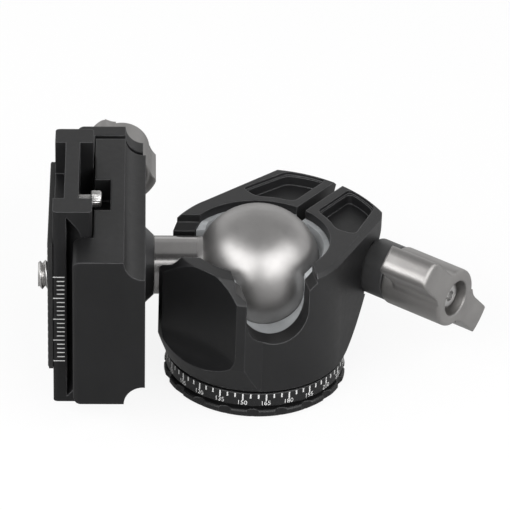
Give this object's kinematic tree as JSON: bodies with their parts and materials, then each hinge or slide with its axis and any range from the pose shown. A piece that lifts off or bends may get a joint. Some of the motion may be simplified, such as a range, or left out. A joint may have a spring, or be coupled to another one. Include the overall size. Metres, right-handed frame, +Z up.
{
  "type": "tripod ball head",
  "caption": "Ball head for a camera tripod: split clamp housing with drop notches, wing lock knob, panning base with degree dial, and screw clamp with a dovetail camera plate.",
  "frame": {"origin": "centre of the tripod thread's mouth, in the plane the foot stands on", "axes": "+Z up along the pan axis, out of the ball; the stored stem lies in the notch towards -X; +Y away from the picture's camera"},
  "size_m": [0.0958, 0.0868, 0.0493],
  "materials": {
    "black_anodised": "satin black anodised",
    "gunmetal": "warm grey anodised",
    "ball_finish": "satin grey anodised",
    "grey_plastic": "moulded",
    "black_plastic": "moulded",
    "white_plastic": "moulded",
    "steel": "turned",
    "dark_steel": "blackened",
    "bronze": "turned",
    "rubber": "moulded"
  },
  "bodies": {
    "base": {"base_plate": "black_anodised", "dial_ring": "black_anodised", "foot_ring": "black_anodised", "pan_axle": "steel", "pan_bearing": "white_plastic", "thrust_washer": "bronze", "pan_circlip": "dark_steel"},
    "housing": {"housing": "black_anodised", "ball_liner": "grey_plastic", "lock_nut": "steel", "lock_collar": "black_plastic", "pan_lock_shoe": "bronze"},
    "pan_lock": {"pan_lock_knob": "black_anodised"},
    "lock_knob": {"lock_knob": "gunmetal", "lock_bolt": "steel", "lock_knob_screw": "steel"},
    "ball": {"ball_stem": "ball_finish"},
    "clamp": {"clamp_base": "black_anodised", "stem_collar": "dark_steel", "clamp_screw": "steel", "draw_nut": "bronze", "jaw_springs": "steel"},
    "jaw": {"moving_jaw": "black_anodised", "guide_pins": "steel", "jaw_collar": "black_plastic"},
    "clamp_knob": {"clamp_knob": "gunmetal", "draw_screw": "steel", "clamp_knob_screw": "steel"},
    "plate": {"camera_plate": "black_anodised", "rubber_pad": "rubber", "stop_screws": "steel"},
    "screw_clip": {"screw_clip": "dark_steel"},
    "camera_screw": {"camera_screw": "steel"}
  },
  "joints": [
    {"name": "pan", "type": "hinge", "parent": "base", "child": "housing", "pos_m": [0, 0, 0.0062], "axis": [0, 0, 1], "continuous": true},
    {"name": "pan_lock_turn", "type": "hinge", "parent": "housing", "child": "pan_lock", "pos_m": [-0.01618, 0.01176, 0.00815], "axis": [-0.809, 0.5878, 0], "range_deg": [0, 360]},
    {"name": "lock_knob_turn", "type": "hinge", "parent": "housing", "child": "lock_knob", "pos_m": [0.02852, 0.00523, 0.0225], "axis": [0.809, -0.5878, 0], "range_deg": [0, 270]},
    {"name": "tilt", "type": "hinge", "parent": "housing", "child": "ball", "pos_m": [0, 0, 0.0262], "axis": [-0.0366, 0.9993, 0], "range_deg": [-2, 125]},
    {"name": "twist", "type": "hinge", "parent": "ball", "child": "clamp", "pos_m": [0, 0, 0.0262], "axis": [-0.9992, -0.0366, -0.0131], "continuous": true},
    {"name": "jaw_slide", "type": "slide", "parent": "clamp", "child": "jaw", "axis": [-0.0359, 0.9979, -0.0541], "range_m": [0, 0.003]},
    {"name": "clamp_knob_turn", "type": "hinge", "parent": "jaw", "child": "clamp_knob", "pos_m": [-0.03078, 0.04084, 0.02354], "axis": [-0.0359, 0.9979, -0.0541], "range_deg": [0, 1350]},
    {"name": "plate_slide", "type": "slide", "parent": "clamp", "child": "plate", "axis": [-0.015, 0.0536, 0.9985], "range_m": [-0.0022, 0.0022]},
    {"name": "screw_slide", "type": "slide", "parent": "plate", "child": "screw_clip", "axis": [-0.015, 0.0536, 0.9985], "range_m": [-0.0039, 0.0039]},
    {"name": "camera_screw_turn", "type": "hinge", "parent": "screw_clip", "child": "camera_screw", "pos_m": [-0.03494, -0.00142, 0.02325], "axis": [-0.9992, -0.0366, -0.0131], "continuous": true}
  ],
  "couplings": [
    {"joint": "jaw_slide", "follows": "clamp_knob_turn", "m_per_rad": 0.00012732}
  ]
}
